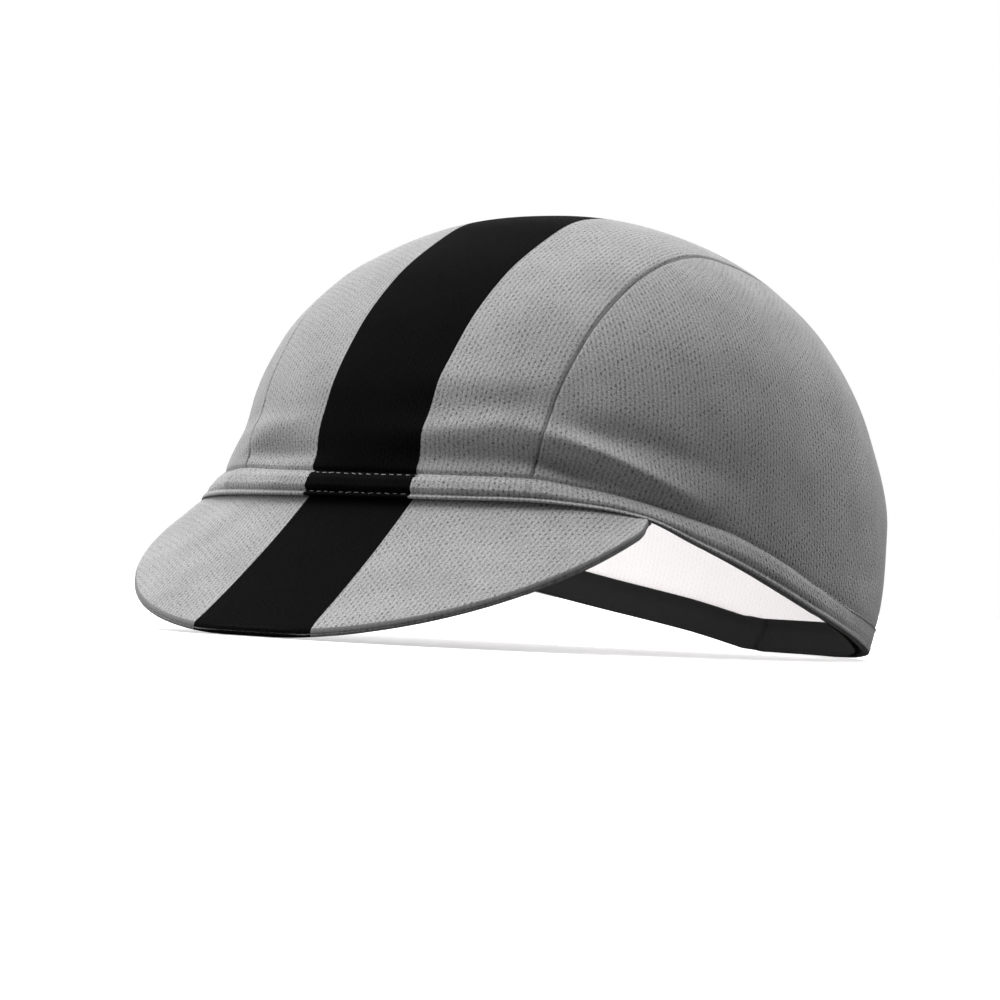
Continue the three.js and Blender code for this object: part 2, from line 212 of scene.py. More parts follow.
front_share, back_share, side_share = (through(PROFILE, column) for column in (1, 2, 3))
HEM_COLUMNS = {"edge": 1, "height": 2, "lean": 3, "puff": 4, "swell": 5}
left_hem = {name: through(LEFT_HEM, column, True) for name, column in HEM_COLUMNS.items()}
right_hem = {name: through(RIGHT_HEM, column, True) for name, column in HEM_COLUMNS.items()}
hem_roll = through(HEM_ROLL, 1)


def wrap(around):
    """The same direction, between -180 and 180 degrees."""
    return (np.asarray(around, float) + 180) % 360 - 180


def hem_share(name, around):
    around = wrap(around)
    far = np.abs(around)
    return np.where(around < 0, right_hem[name](far), left_hem[name](far))


print("Edge of the hem over the brow:", float(HEM_LIFT * hem_share("edge", 0)), "mm up")


# %% [markdown]
# ## The crown's surface
#
# Every piece sits on, or hangs from, one surface. A function for that surface is better than a mesh
# that is moved by hand: panels cut from it meet exactly, and seams and stitches can be laid on it.

# %% The crown as a function of the angle round it and the level up it
FRONT_SQUARENESS, BACK_SQUARENESS = (2.2, 2.3), (2, 2.08)
SWELL_LEVEL = 6.5


def mix(a, b, share):
    return a + (b - a) * share


def unit(vectors):
    return vectors / np.maximum(np.linalg.norm(vectors, axis=-1, keepdims=True), 1e-12)


def squareness(around, power):
    s, c = np.abs(np.sin(np.radians(around))), np.abs(np.cos(np.radians(around)))
    return (s**power + c**power) ** (-1 / power)


def crown(around, level):
    around, level = np.broadcast_arrays(np.asarray(around, float), np.asarray(level, float))
    up, s, c = np.sin(np.radians(level)), np.sin(np.radians(around)), np.cos(np.radians(around))
    above = np.clip(2 * up, 0, 1)
    k = squareness(around, np.where(c > 0, mix(*FRONT_SQUARENESS, above), mix(*BACK_SQUARENESS, above)))
    reach = np.where(c > 0, CROWN_FRONT * front_share(level), CROWN_BACK * back_share(level))
    edge = np.maximum(0, HEM_LIFT * hem_share("edge", around))
    crease = edge + HEM_HEIGHT * hem_share("height", around)
    swell = BROW_SWELL * hem_share("swell", around) * np.exp(-((level / SWELL_LEVEL) ** 2))
    x = (CROWN_HALF_WIDTH * side_share(level) * k + swell) * s
    return np.stack([x, -(reach * k + swell) * c, crease + (CROWN_HEIGHT - crease) * up], axis=-1)


print("Width at the crease:", round(float(2 * crown(90, 0)[0]), 1), "mm")


# %% Folds, and the cloth laid on the crown
HALVINGS = 34


def fold_height(around, level):
    total = 0
    for at_around, at_level, half_length, half_height, slope, depth in FOLDS + CREASES:
        along = (around - at_around) / half_length
        across = (level - at_level - slope * (around - at_around)) / half_height
        total = total + depth * np.exp(-along * along - across * across)
    return FOLD_DEPTH * total


def on_disc(a, b):
    return np.degrees(np.arctan2(a, -b)), 90 * (1 - np.hypot(a, b))


def cloth(a, b, lift=0.0):
    """Point of the crown's cloth at a place on the disc, lifted off it by some millimetres."""
    e = 0.002
    across = crown(*on_disc(a + e, b)) - crown(*on_disc(a - e, b))
    along = crown(*on_disc(a, b + e)) - crown(*on_disc(a, b - e))
    normal = unit(np.cross(across, along))
    around, level = on_disc(a, b)
    normal[..., 2] *= np.clip(level / 2, 0, 1)
    return crown(around, level) + unit(normal) * (fold_height(around, level) + lift)[..., None]


def place_across(station, half):
    """Disc places along a line of the crown that stands a given distance from the middle plane."""
    low = np.zeros(np.broadcast(station, half).shape)
    high = np.full_like(low, 0.98)
    for _ in range(HALVINGS):
        a = (low + high) / 2
        inside = crown(*on_disc(a, station * np.sqrt(1 - a * a)))[..., 0] < half
        low, high = np.where(inside, a, low), np.where(inside, high, a)
    a = (low + high) / 2
    return a, station * np.sqrt(1 - a * a)


def seam_half(station):
    return SEAM_TOP + (np.where(station < 0, SEAM_FRONT, SEAM_BACK) - SEAM_TOP) * station**2


def seam_foot(station, offset):
    a, b = place_across(np.array(float(station)), seam_half(station) + offset)
    return float(np.degrees(np.arctan2(a, -b)))


front_foot, back_foot = seam_foot(-1, 0), seam_foot(1, 0)
print("Panel seams meet the hem at", round(front_foot, 1), "and", round(back_foot, 1), "degrees")

# %% [markdown]
# ## From grids of points to sewn pieces
#
# A cloth piece has an outside, an inside and narrow edges. Each is a grid of points, and the grids are
# welded where they meet, which gives one closed skin with no hole. Every corner also gets its place on
# the flat cloth in millimetres, in a UV map named "cloth", so the knit runs at its real scale.

# %% Weld grids of points into one closed mesh, and grids for a sheet with a thickness
WELD = 2e-6
SHARP = math.radians(48)
CUT_EDGE = 0.4


def sew(name, patches, finishes, caps=()):
    """patches are (points, places on the flat cloth, finish index of each quad)."""
    points, places, quads, marks, count = [], [], [], [], 0
    for grid, flat, mark in patches:
        rows, columns = grid.shape[:2]
        index = count + np.arange(rows * columns).reshape(rows, columns)
        four = [index[:-1, :-1], index[1:, :-1], index[1:, 1:], index[:-1, 1:]]
        quads.append(np.stack(four, -1).reshape(-1, 4))
        marks.append(np.broadcast_to(mark, (rows - 1, columns - 1)).reshape(-1))
        points.append(grid.reshape(-1, 3))
        places.append(flat.reshape(-1, 2))
        count += rows * columns
    faces = np.concatenate(quads).tolist()
    for cap in caps:
        faces.append(list(range(count, count + len(cap))))
        points.append(cap)
        places.append(cap[:, 1:])
        marks.append(np.zeros(1, int))
        count += len(cap)
    mesh = bpy.data.meshes.new(name)
    mesh.from_pydata((np.concatenate(points) + SHIFT) * MILLIMETRE, [], faces)
    corners = np.concatenate([np.array(face) for face in faces])
    mesh.uv_layers.new(name="cloth").data.foreach_set("uv", np.concatenate(places)[corners].ravel())
    mesh.polygons.foreach_set("material_index", np.concatenate(marks).astype(np.int32))
    for finish in finishes:
        mesh.materials.append(finish)
    shell = bmesh.new()
    shell.from_mesh(mesh)
    bmesh.ops.remove_doubles(shell, verts=shell.verts, dist=WELD)
    bmesh.ops.recalc_face_normals(shell, faces=shell.faces)
    shell.to_mesh(mesh)
    shell.free()
    mesh.shade_smooth()
    mesh.set_sharp_from_angle(angle=SHARP)
    piece = bpy.data.objects.new(name, mesh)
    bpy.context.scene.collection.objects.link(piece)
    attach(piece, BODY)
    print(name, "has", len(mesh.polygons), "faces")
    return piece


def slab(outside, inside, flat, mark, inner_mark):
    """The six grids of a sheet with a thickness."""
    outer_mark = np.broadcast_to(mark, (outside.shape[0] - 1, outside.shape[1] - 1))
    grids = [(outside, flat, mark), (inside, flat, inner_mark)]
    for side in (np.s_[0], np.s_[-1], np.s_[:, 0], np.s_[:, -1]):
        strip = np.stack([outside[side], inside[side]], axis=1)
        turned = np.stack([flat[side], flat[side] + CUT_EDGE], axis=1)
        grids.append((strip, turned, outer_mark[side][:, None]))
    return grids


def run(points):
    """Length along each row of a grid, from its first point."""
    steps = np.linalg.norm(np.diff(points, axis=1), axis=-1)
    return np.concatenate([np.zeros((len(points), 1)), np.cumsum(steps, axis=1)], axis=1)


print("Points within", WELD * 1000, "mm of each other are welded")

# %% [markdown]
# ## Finishes
#
# The cloth is a polyester mesh knit: columns of stitches 1.3 mm apart, with a small slit every 2.1 mm
# between two columns and the slits of the next pair half a step lower. Slits that small are drawn in
# the shader, on the flat cloth, as a bump and a darker colour, which is painted shade in the slits,
# and no two are quite alike. The stripe is dye printed into the same knit, so it shares the slits and
# only changes the yarn's colour. The reverse of a printed polyester stays white and looks plain. Where
# the knit turns tight round the peak's edge its ribs close up, so a fourth finish with little relief
# goes there; its darker grey is painted shade on the rolled edge.

# %% Colours from sRGB hex, and helpers that add nodes
def linear(hex_colour):
    channels = [int(hex_colour[i : i + 2], 16) / 255 for i in (1, 3, 5)]
    return [c / 12.92 if c <= 0.04045 else ((c + 0.055) / 1.055) ** 2.4 for c in channels] + [1.0]


def add_node(tree, kind, inputs=None, **settings):
    made = tree.nodes.new(kind)
    for name, value in settings.items():
        setattr(made, name, value)
    for name, value in (inputs or {}).items():
        if isinstance(value, bpy.types.NodeSocket):
            tree.links.new(value, made.inputs[name])
        else:
            made.inputs[name].default_value = value
    return made


def on_numbers(tree, operation, *values):
    return add_node(tree, "ShaderNodeMath", dict(enumerate(values)), operation=operation).outputs[0]


def on_places(tree, operation, *values):
    return add_node(tree, "ShaderNodeVectorMath", dict(enumerate(values)), operation=operation).outputs[0]


def blend(tree, share, first, second):
    """Two colours mixed. The node's colours are its sockets 6 and 7, and its answer is socket 2."""
    inputs = {"Factor": share, 6: first, 7: second}
    return add_node(tree, "ShaderNodeMix", inputs, data_type="RGBA").outputs[2]


def rescale(tree, value, taken=(0.0, 1.0), given=(0.0, 1.0), kind="LINEAR"):
    """A number moved from one range to another, and held inside it."""
    ends = {"From Min": taken[0], "From Max": taken[1], "To Min": given[0], "To Max": given[1]}
    made = add_node(tree, "ShaderNodeMapRange", {"Value": value, **ends}, interpolation_type=kind)
    return made.outputs[0]


def new_finish(name):
    finish = bpy.data.materials.new(name)
    finish.use_nodes = True
    return finish, finish.node_tree, finish.node_tree.nodes["Principled BSDF"]


def flat_cloth(tree):
    """The place on the flat cloth, in millimetres."""
    return add_node(tree, "ShaderNodeUVMap", uv_map="cloth").outputs["UV"]


print("Mid grey #808080 is", round(linear("#808080")[0], 3), "in linear light")

# %% Staggered slits of the mesh knit
COLUMN = 1.3
HOLE_PITCH = (2 * COLUMN, 2.08)
HOLE_HALF = (0.28, 0.47)
HOLE_SOFT_EDGE = (1.3, 0.3)
HOLE_OPENS = (0.25, 1.0)


def knit_holes(tree, place, offset):
    """How far open the knit is, 0 to 1, for every second pair of columns."""
    turns = (1 / HOLE_PITCH[0], 1 / HOLE_PITCH[1], 0)
    cell = on_places(tree, "MULTIPLY_ADD", place, turns, (offset, offset, 0))
    number = on_places(tree, "FLOOR", cell)
    own = add_node(tree, "ShaderNodeTexWhiteNoise", {"Vector": number}, noise_dimensions="2D")
    within = on_places(tree, "FRACTION", cell)
    wide, tall = HOLE_PITCH[0] / HOLE_HALF[0], HOLE_PITCH[1] / HOLE_HALF[1]
    from_middle = on_places(tree, "MULTIPLY_ADD", within, (wide, tall, 0), (-wide / 2, -tall / 2, 0))
    reach = add_node(tree, "ShaderNodeVectorMath", {0: from_middle}, operation="LENGTH").outputs["Value"]
    share = rescale(tree, reach, taken=HOLE_SOFT_EDGE, kind="SMOOTHSTEP")
    opens = rescale(tree, own.outputs["Value"], given=HOLE_OPENS)
    return on_numbers(tree, "MULTIPLY", share, opens)


print("Slits are", 2 * HOLE_HALF[0], "by", 2 * HOLE_HALF[1], "mm, two to each cell of", HOLE_PITCH, "mm")

# %% Mesh knit: yarn colour, slits and ribs with painted shade, fibre and slow clouding
YARN_DRIFT = (0.8, 1.1, 0)
RIB_SHARE, CLOUD_SHARE, RELIEF_SHARE = 0.07, 0.15, 0.8
SHADE_TAKEN = (0.44, 0.78)
# A wave texture's period is 2 pi / 20 over its scale; it is lowest where the slits are.
RIB_SCALE = 2 * math.pi / 20 / COLUMN


def mesh_knit(name, yarn, shaded_slit_colour, depth=0.22, grain=1.0, roughness=0.85, sheen=0.08, specular=0.2):
    finish, tree, shader = new_finish(name)
    flat = flat_cloth(tree)
    drift = add_node(tree, "ShaderNodeTexNoise", {"Vector": flat, "Scale": 0.8, "Detail": 1.0})
    centred = on_places(tree, "SUBTRACT", drift.outputs["Color"], (0.5, 0.5, 0.5))
    place = on_places(tree, "MULTIPLY_ADD", centred, YARN_DRIFT, flat)
    opened = on_numbers(tree, "MAXIMUM", knit_holes(tree, place, 0.0), knit_holes(tree, place, 0.5))
    rib = add_node(tree, "ShaderNodeTexWave", {"Vector": place, "Scale": RIB_SCALE}, bands_direction="X")
    fine_noise = {"Vector": flat, "Scale": 2.4, "Detail": 3.0, "Roughness": 0.65}
    fibre = add_node(tree, "ShaderNodeTexNoise", fine_noise)
    cloud = add_node(tree, "ShaderNodeTexNoise", {"Vector": flat, "Scale": 0.07, "Detail": 3.0})
    # The rib term gives the ribs their relief and also makes the yarn a little darker in the grooves
    # between them, which is painted shade; fibre and clouding are the yarn's own uneven tone.
    ribbed = on_numbers(tree, "MULTIPLY_ADD", rib.outputs["Fac"], RIB_SHARE, fibre.outputs["Fac"])
    uneven = on_numbers(tree, "MULTIPLY_ADD", cloud.outputs["Fac"], CLOUD_SHARE, ribbed)
    shade = rescale(tree, uneven, taken=SHADE_TAKEN, given=(1 - 0.5 * grain, 1 + 0.5 * grain))
    shaded = {0: linear(yarn)[:3], "Scale": shade}
    body = add_node(tree, "ShaderNodeVectorMath", shaded, operation="SCALE").outputs[0]
    relief = on_numbers(tree, "MULTIPLY", ribbed, RELIEF_SHARE)
    height = on_numbers(tree, "SUBTRACT", relief, opened)
    raised = {"Height": height, "Distance": depth * MILLIMETRE, "Strength": 0.9}
    bump = add_node(tree, "ShaderNodeBump", raised)
    # The slits take the darker shaded slit colour: painted shade in the slits, over the bump's real depth.
    tree.links.new(blend(tree, opened, body, linear(shaded_slit_colour)), shader.inputs["Base Color"])
    tree.links.new(bump.outputs["Normal"], shader.inputs["Normal"])
    shader.inputs["Roughness"].default_value = roughness
    shader.inputs["Sheen Weight"].default_value = sheen
    shader.inputs["Specular IOR Level"].default_value = specular
    return finish


print("One rib of the knit is", COLUMN, "mm wide")

# %% The four knit finishes
DULL_INK = {"depth": 0.12, "roughness": 1.0, "sheen": 0.0, "specular": 0.04}
SMOOTH_REVERSE = {"depth": 0.03, "grain": 0.12, "sheen": 0.0}
CLOTH_FINISHES = [
    mesh_knit("grey_polyester_mesh_knit", "#b2b2b2", "#7a7a7a"),
    mesh_knit("black_printed_mesh_knit", "#0f0f0f", "#080808", **DULL_INK),
    mesh_knit("white_reverse_of_the_knit", "#f8f5f5", "#f2eeee", **SMOOTH_REVERSE),
    # A darker grey copy of the grey knit, with little relief, for the peak's rolled edge: the darker grey
    # is painted shade there.
    mesh_knit("darker_grey_knit_as_painted_shade_round_the_peak_edge", "#8c8c8c", "#808080", depth=0.05, grain=0.4),
]
GREY, BLACK, WHITE, PAINTED_EDGE_SHADE = range(4)
print("Knit finishes:", [finish.name for finish in CLOTH_FINISHES])


# %% Woven elastic and sewing thread
def woven_elastic():
    finish, tree, shader = new_finish("matte_black_woven_elastic")
    flat = flat_cloth(tree)
    ribs = add_node(tree, "ShaderNodeTexWave", {"Vector": flat, "Scale": 1.1}, bands_direction="Y")
    picks = add_node(tree, "ShaderNodeTexWave", {"Vector": flat, "Scale": 1.9}, bands_direction="X")
    weave = on_numbers(tree, "MULTIPLY", ribs.outputs["Fac"], picks.outputs["Fac"])
    cloud = add_node(tree, "ShaderNodeTexNoise", {"Vector": flat, "Scale": 0.4, "Detail": 3.0})
    tone = on_numbers(tree, "MULTIPLY", weave, cloud.outputs["Fac"])
    raised = {"Height": weave, "Distance": 0.1 * MILLIMETRE, "Strength": 0.7}
    bump = add_node(tree, "ShaderNodeBump", raised)
    tree.links.new(blend(tree, tone, linear("#202020"), linear("#333333")), shader.inputs["Base Color"])
    tree.links.new(bump.outputs["Normal"], shader.inputs["Normal"])
    shader.inputs["Roughness"].default_value = 0.9
    shader.inputs["Specular IOR Level"].default_value = 0.2
    return finish


def sewing_thread():
    finish, tree, shader = new_finish("pale_polyester_thread")
    flat = flat_cloth(tree)
    wave = {"Vector": flat, "Scale": 1.6}
    twist = add_node(tree, "ShaderNodeTexWave", wave, bands_direction="DIAGONAL").outputs["Fac"]
    tree.links.new(blend(tree, twist, linear("#a4a4a4"), linear("#cccccc")), shader.inputs["Base Color"])
    shader.inputs["Roughness"].default_value = 0.6
    return finish


elastic = woven_elastic()
thread = sewing_thread()
print("Trim finishes:", elastic.name, thread.name)

# %% [markdown]
# ## The three crown panels
#
# The middle panel runs from the front hem over the head to the back hem. Its columns of faces follow
# the two edges of the printed stripe, so the print ends on a line of the mesh and stays crisp. Near
# the seams the columns crowd together: the middle panel stands a little proud there, where its seam
# allowance is folded under it, and both panels roll down into the seam. A side panel is cut with its
# columns of knit upright over the ear, so that is how its flat cloth is measured.

# %% Relief beside a seam, by the distance from it
SEAM_RAISE, SEAM_DROP, SEAM_ROLL = 0.14, 0.7, 0.3
ALLOWANCE_START, ALLOWANCE_WIDTH, ALLOWANCE_FADE = 0.7, 1.5, 2.6
SIDE_DIP, BROW_DIP, BROW_REACH, DIP_LEVEL = 0.15, 0.6, 75, 0.55


def seam_relief(distance, raised):
    roll = SEAM_DROP * np.exp(-((distance / SEAM_ROLL) ** 2))
    beyond = np.maximum(distance - ALLOWANCE_WIDTH, 0) / ALLOWANCE_FADE
    allowance = raised * np.exp(-(beyond**2)) * (1 - np.exp(-distance / ALLOWANCE_START))
    return allowance - roll


def hem_dip(around, level):
    """The crown's lower edge turns in to where the hem is sewn over it, most of all over the brow."""
    deepest = mix(SIDE_DIP, BROW_DIP, 1 / (1 + (around / BROW_REACH) ** 6))
    return -deepest * np.exp(-((level / DIP_LEVEL) ** 2))


def crowded_stations(count):
    """Stations from -1 at the front to 1 at the back, closer together in front."""
    return 2 * (np.arange(count + 1) / count) ** 1.35 - 1


print("Each panel rolls down", SEAM_DROP, "mm into its seam")

# %% Columns and rows of the middle panel
ROWS, STRIPE_COLUMNS, PLAIN_COLUMNS = 236, 13, 21
CLOSE = np.array([0, 0.12, 0.28, 0.48, 0.72, 1.0, 1.35, 1.8, 2.4, 3.1, 4.0, 5.0, 6.2])
stations = crowded_stations(ROWS)
edge = seam_half(stations) - CLEARANCE / 2
stripe = STRIPE_TOP + (STRIPE_CREASE - STRIPE_TOP) * stations**2


def panel_columns(stripe, edge):
    inner = stripe[:, None] * np.linspace(0, 1, STRIPE_COLUMNS + 1)
    spare = edge - CLOSE[-1] - stripe
    middle = stripe[:, None] + spare[:, None] * np.linspace(0, 1, PLAIN_COLUMNS + 1)[1:-1]
    return np.concatenate([inner, middle, edge[:, None] - CLOSE[::-1]], axis=1)


def both_halves(half):
    a, b = place_across(stations[:, None], half)
    return np.concatenate([-a[:, :0:-1], a], axis=1), np.concatenate([b[:, :0:-1], b], axis=1)


half = panel_columns(stripe, edge)
print("Middle panel's grid:", ROWS, "rows and", 2 * (half.shape[1] - 1), "columns")

# %% Middle panel
a, b = both_halves(half)
distance = edge[:, None] - np.concatenate([half[:, :0:-1], half], axis=1)
outside = cloth(a, b, seam_relief(distance, SEAM_RAISE) + hem_dip(*on_disc(a, b)))
inner_a, inner_b = both_halves(panel_columns(stripe, seam_half(stations)))
inside = cloth(inner_a, inner_b, np.full(a.shape, -CLOTH))
middle = a.shape[1] // 2
across = run(outside) - run(outside)[:, middle : middle + 1]
along = np.concatenate([[0], np.cumsum(np.linalg.norm(np.diff(outside[:, middle], axis=0), axis=-1))])
flat = np.stack([across, np.broadcast_to(along[:, None], across.shape)], axis=-1)
striped = np.abs(np.arange(a.shape[1] - 1) - middle + 0.5) < STRIPE_COLUMNS
printed = np.where(striped, BLACK, GREY)[None, :]
centre_panel = sew("middle_panel_knit", slab(outside, inside, flat, printed, WHITE), CLOTH_FINISHES)
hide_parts("centre_panel")
print("Middle panel is", round(float(along[-1])), "mm long")

# %% Rows and columns of a side panel, and its flat cloth
ALONG, DOWN = 210, 62
PANEL_MIDDLE = 78
side_stations = crowded_stations(ALONG)
side_rounds = np.radians(np.linspace(seam_foot(-1, CLEARANCE / 2), seam_foot(1, CLEARANCE / 2), ALONG + 1))
near_seam = np.array([0, 0.0012, 0.0028, 0.005, 0.008, 0.012, 0.018, 0.026, 0.036])
share = np.append(near_seam, mix(near_seam[-1], 1, 1 - (1 - np.linspace(0, 1, DOWN)[1:]) ** 1.25))


def ring_radius(level):
    lengthways = (CROWN_FRONT * front_share(level) + CROWN_BACK * back_share(level)) / 2
    return (lengthways + CROWN_HALF_WIDTH * side_share(level)) / 2


def climb(level):
    """Length of cloth from the hem up to a level, over the middle of a side panel."""
    levels = np.linspace(0, 90, 181)
    steps = np.linalg.norm(np.diff(crown(PANEL_MIDDLE, levels), axis=0), axis=-1)
    return np.interp(level, levels, np.concatenate([[0], np.cumsum(steps)]))


print("From the hem to the top is", round(float(climb(90))), "mm over the ear")


# %% Side panels
def side_places(side, offset):
    seam_a, seam_b = place_across(side_stations, seam_half(side_stations) + offset)
    a = mix(seam_a[:, None], np.sin(side_rounds)[:, None], share) * side
    return a, mix(seam_b[:, None], -np.cos(side_rounds)[:, None], share)


def side_panel(name, side, node):
    a, b = side_places(side, CLEARANCE / 2)
    around, level = on_disc(a, b)
    from_seam = run(cloth(a, b, np.zeros(a.shape)))
    outside = cloth(a, b, seam_relief(from_seam, 0.0) + hem_dip(around, level))
    inside = cloth(*side_places(side, 0.0), np.full(a.shape, -CLOTH))
    sideways = side * np.radians(np.abs(around) - PANEL_MIDDLE) * ring_radius(level)
    flat = np.stack([sideways, climb(level)], axis=-1)
    piece = sew(name, slab(outside, inside, flat, GREY, WHITE), CLOTH_FINISHES)
    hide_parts(node)
    return piece


side_panel("left_panel_knit", 1, "side_panel_left")
side_panel("right_panel_knit", -1, "side_panel_right")

# %% [markdown]
# ## The hem
#
# The lower edge of the crown is covered by a strip of the same knit, turned up and stitched twice, so
# it puffs out between the two rows of stitches and ends in a thin lip. Each stitch pulls the cloth in
# a little. With a section about every half millimetre, that pucker is real geometry.

# %% Points on the hem
ABOVE_CREASE = 0.55


def outwards(around):
    along = crown(around + 0.2, 0) - crown(around - 0.2, 0)
    return unit(np.stack([along[..., 1], -along[..., 0], np.zeros(along.shape[:-1])], axis=-1))


def on_hem(around, down, out):
    """down is 0 at the crease and 1 at the edge, and out is in millimetres."""
    around, down, out = np.broadcast_arrays(*(np.asarray(v, float) for v in (around, down, out)))
    height = HEM_HEIGHT * hem_share("height", around)
    crease = crown(around, 0)
    radial = unit(crease * [1, 1, 0])
    lean = np.where(down > 0, HEM_FLARE * hem_share("lean", around) * down, ABOVE_CREASE * height * down)
    point = crease + radial * lean[..., None] + outwards(around) * out[..., None]
    return point - np.stack([0 * height, 0 * height, height * down], axis=-1)


fine = np.linspace(-180, 180, 1441)
fine_steps = np.linalg.norm(np.diff(on_hem(fine, 0.5, 0), axis=0), axis=-1)
fine_length = np.concatenate([[0], np.cumsum(fine_steps)])
print("Hem is", round(float(fine_length[-1])), "mm round")


def hem_length(around):
    return np.interp(wrap(around), fine, fine_length)


# %% The rolled, puckered outside of the hem
STITCH_PITCH, UPPER_ROW, LOWER_ROW = 2.4, 0.07, 0.83
UPPER_PULL, LOWER_PULL = 0.16, 0.12
BROW_PUFF, BROW_END, BROW_FADE = 1.5, 50, 40
FLATTER, FLATTER_AT, FLATTER_WIDTH, FLATTER_START = 0.4, 108, 20, 0.12
HEM_SEAM_DROP, HEM_SEAM_RIDGE = 0.5, 0.25
HEM_SEAMS = np.array([-back_foot, -front_foot, front_foot, back_foot])


def roll_out(around, down):
    """How far the hem stands out: puffed most over the brow, and pressed flatter behind the left ear."""
    past_brow = np.clip((np.abs(wrap(around)) - BROW_END) / BROW_FADE, 0, 1)
    puff = HEM_PUFF * hem_share("puff", around) * mix(BROW_PUFF, 1, past_brow)
    flatter = FLATTER * np.exp(-(((around - FLATTER_AT) / FLATTER_WIDTH) ** 2))
    length = hem_length(around)
    pull = 0.5 + 0.5 * np.cos(2 * np.pi * length / STITCH_PITCH)
    upper = UPPER_PULL * np.exp(-(((down - UPPER_ROW) / 0.1) ** 2))
    lower = LOWER_PULL * np.exp(-(((down - LOWER_ROW) / 0.09) ** 2))
    loose = 1 + 0.07 * np.sin(length / 3.1 + 1.3) + 0.06 * np.sin(length / 5.3) * np.sin(length / 17)
    from_seam = np.min(np.abs(length[..., None] - hem_length(HEM_SEAMS)), axis=-1)
    ridge = HEM_SEAM_RIDGE * np.exp(-(((from_seam - 1.6) / 1.2) ** 2))
    seam = ridge - HEM_SEAM_DROP * np.exp(-((from_seam / 0.6) ** 2))
    relief = pull * (upper + lower) + seam * np.sin(np.pi * np.clip(down, 0, 1))
    return hem_roll(down) * puff * loose + relief - flatter * np.clip(down / FLATTER_START, 0, 1)


print("A stitch pulls the hem in every", STITCH_PITCH, "mm")

# %% Four lengths of hem, each a closed section that is swept along the hem
TOP, LIP = 0.08 / HEM_HEIGHT, -0.15
OUTER = np.concatenate([[TOP], np.linspace(0.04, 0.96, 31), [0.985, 1.0]])
INNER_DOWN = [1, 1, 1, 0.96, 0.72, 0.48, 0.24, TOP, TOP, TOP]
INNER_OUT = [-0.6, -1.4, -2.1] + 5 * [-HEM_THICKNESS] + [-1.7, -0.8]
SECTIONS_PER_DEGREE, FEWEST_SECTIONS = 3.6, 60


def hem_piece(name, start, stop, node):
    count = max(FEWEST_SECTIONS, round((stop - start) * SECTIONS_PER_DEGREE))
    around = np.linspace(start, stop, count)
    outer_out = roll_out(around[:, None], OUTER[None, :])
    outer_out[:, 0] = LIP
    down = np.concatenate([OUTER, INNER_DOWN, OUTER[:1]])
    out = np.concatenate([outer_out, np.tile(INNER_OUT, (count, 1)), outer_out[:, :1]], axis=1)
    grid = on_hem(around[:, None], down[None, :], out)
    grid[..., 2] = np.maximum(grid[..., 2], 0)
    length = hem_length(around[:-1])
    length = np.append(length, length[-1] + (length[-1] - length[-2]))
    flat = np.stack([np.broadcast_to(length[:, None], out.shape), run(grid)], axis=-1)
    from_stripe = np.abs((grid[:-1, :-1, 0] + grid[1:, :-1, 0]) / 2 - STRIPE_DRIFT)
    mark = np.where((from_stripe < STRIPE_CREASE) & (grid[:-1, :-1, 1] < 0), BLACK, GREY)
    piece = sew(name, [(grid, flat, mark)], CLOTH_FINISHES, caps=[grid[0, :-1], grid[-1, :-1]])
    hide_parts(node)
    return piece


hem_piece("front_hem_knit", -front_foot, front_foot, "hem_front")
hem_piece("left_hem_knit", front_foot, back_foot, "hem_left")
hem_piece("right_hem_knit", -back_foot, -front_foot, "hem_right")
hem_piece("back_hem_knit", back_foot, 360 - back_foot, "hem_back")

# %% [markdown]
# ## The elastic band
#
# A flat woven elastic is stitched inside the hem, with its ends overlapped at the centre back. It is a
# ring with rounded edges, thicker where the ends lie over each other. The end that lies on top stops
# at a slanted line, where the band dips and its sections stand closer together.

# %% Elastic band
BAND_SECTIONS, JOINT_SECTIONS = 720, 50
JOINT_FROM, JOINT_TO = 173.31, 178.21
JOINT, JOINT_SLANT, JOINT_WIDTH, JOINT_DIP = 175.8, 3.6, 0.3, 0.9
OVERLAP, OVERLAP_STEEPNESS = 0.45, 9
BAND_UP = np.array([0, 0.02, 0.05, 0.15, 0.3, 0.45, 0.6, 0.75, 0.85, 0.95, 0.98, 1.0])
BAND_INSET = np.array([0.35, 0.12, 0, 0, 0, 0, 0, 0, 0, 0, 0.12, 0.35])


def joint_relief(around, up):
    """How far the inner face stands in, past the joint, less the dip along it."""
    past_end = around - JOINT + JOINT_SLANT * (up - 0.5)
    overlap = OVERLAP / (1 + np.exp(np.clip(-OVERLAP_STEEPNESS * past_end, -60, 60)))
    return overlap - JOINT_DIP * np.exp(-((past_end / JOINT_WIDTH) ** 2))


